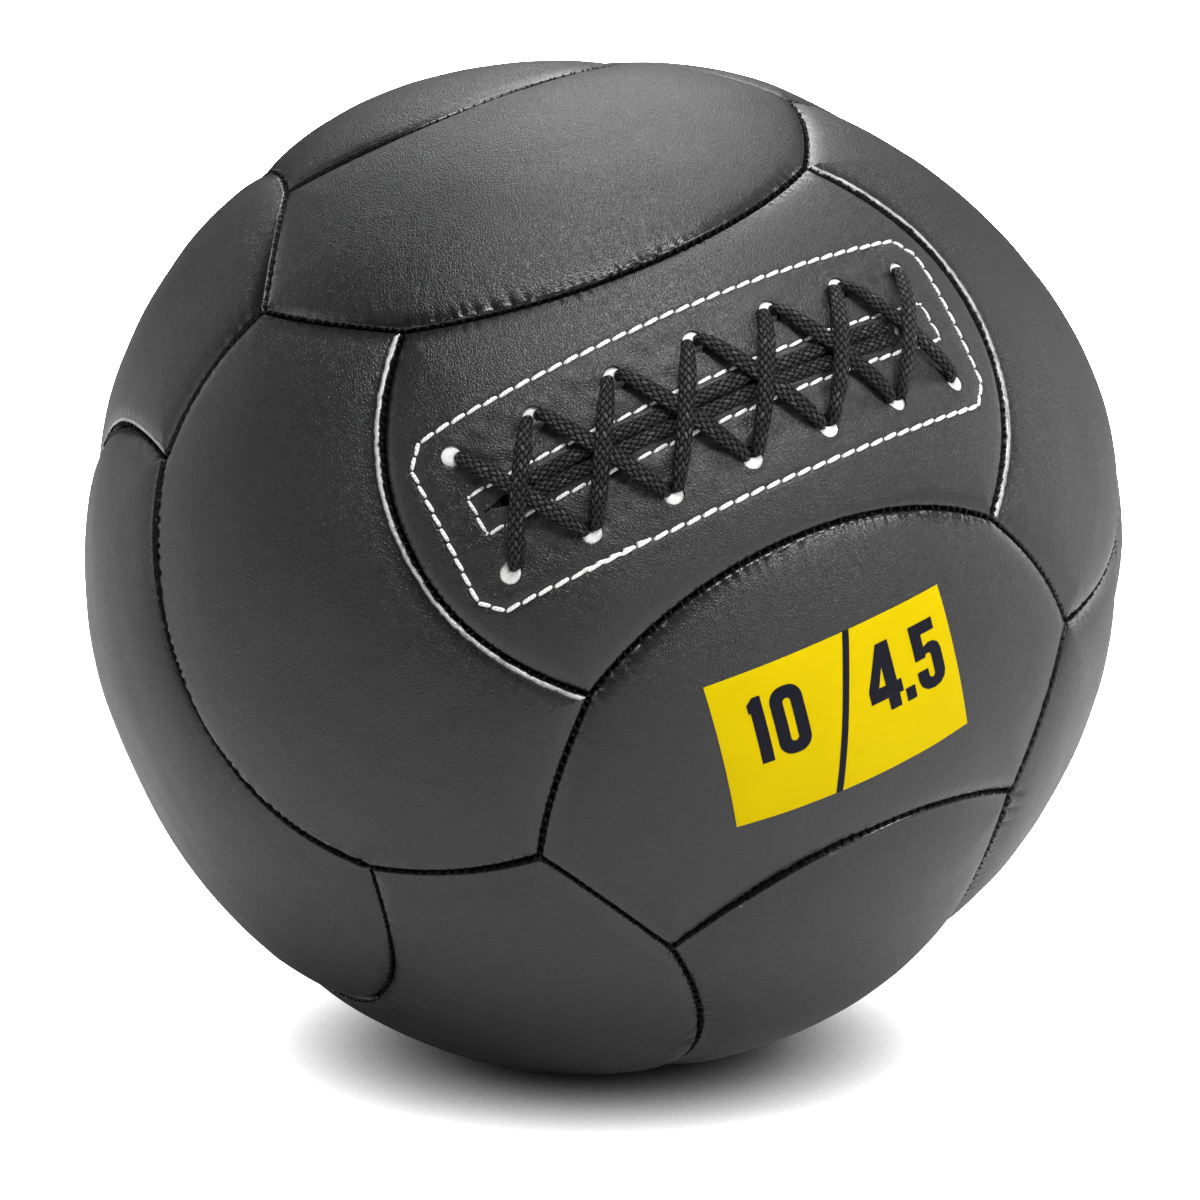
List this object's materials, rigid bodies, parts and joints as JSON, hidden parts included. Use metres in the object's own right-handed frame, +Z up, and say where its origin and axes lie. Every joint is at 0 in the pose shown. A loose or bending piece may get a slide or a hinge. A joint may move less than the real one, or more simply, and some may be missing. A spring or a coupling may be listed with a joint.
{
  "type": "wall ball",
  "caption": "Soft weighted exercise ball of sewn leather panels, closed by a crossed lace on one panel and marked with a two-part yellow weight label.",
  "frame": {"origin": "on the ground under the ball's centre, at the middle of its flattened underside", "axes": "+Z up; -Y towards the viewer of the picture, which sees the laced panel up and to the left; +X to the viewer's right"},
  "size_m": [0.3548, 0.3567, 0.349],
  "materials": {
    "panel_leather": "fine-grained black synthetic leather, satin",
    "lace_braid": "braided black cord",
    "white_cloth": "woven white cloth",
    "white_thread": "twisted white thread",
    "yellow_film": "yellow transfer film with dark numerals",
    "fibre_padding": "packed grey fibre",
    "grey_cloth": "woven grey cloth",
    "ballast_grains": "loose grains"
  },
  "bodies": {
    "root": {"laced_panel": "panel_leather", "square_panel_back": "panel_leather", "square_panel_bottom": "panel_leather", "square_panel_left": "panel_leather", "square_panel_right": "panel_leather", "square_panel_top": "panel_leather", "crescent_panel_back_bottom": "panel_leather", "crescent_panel_back_left": "panel_leather", "crescent_panel_back_right": "panel_leather", "crescent_panel_back_top": "panel_leather", "crescent_panel_front_bottom": "panel_leather", "crescent_panel_front_left": "panel_leather", "crescent_panel_front_right": "panel_leather", "crescent_panel_front_top": "panel_leather", "crescent_panel_left_bottom": "panel_leather", "crescent_panel_left_top": "panel_leather", "crescent_panel_right_bottom": "panel_leather", "crescent_panel_right_top": "panel_leather", "lace": "lace_braid", "lacing_patch": "white_cloth", "casing": "white_cloth", "outer_topstitch": "white_thread", "slit_topstitch": "white_thread", "label_left_half": "yellow_film", "label_right_half": "yellow_film", "upper_padding": "fibre_padding", "lower_padding": "fibre_padding", "ballast_bag": "grey_cloth", "ballast": "ballast_grains"}
  },
  "joints": []
}
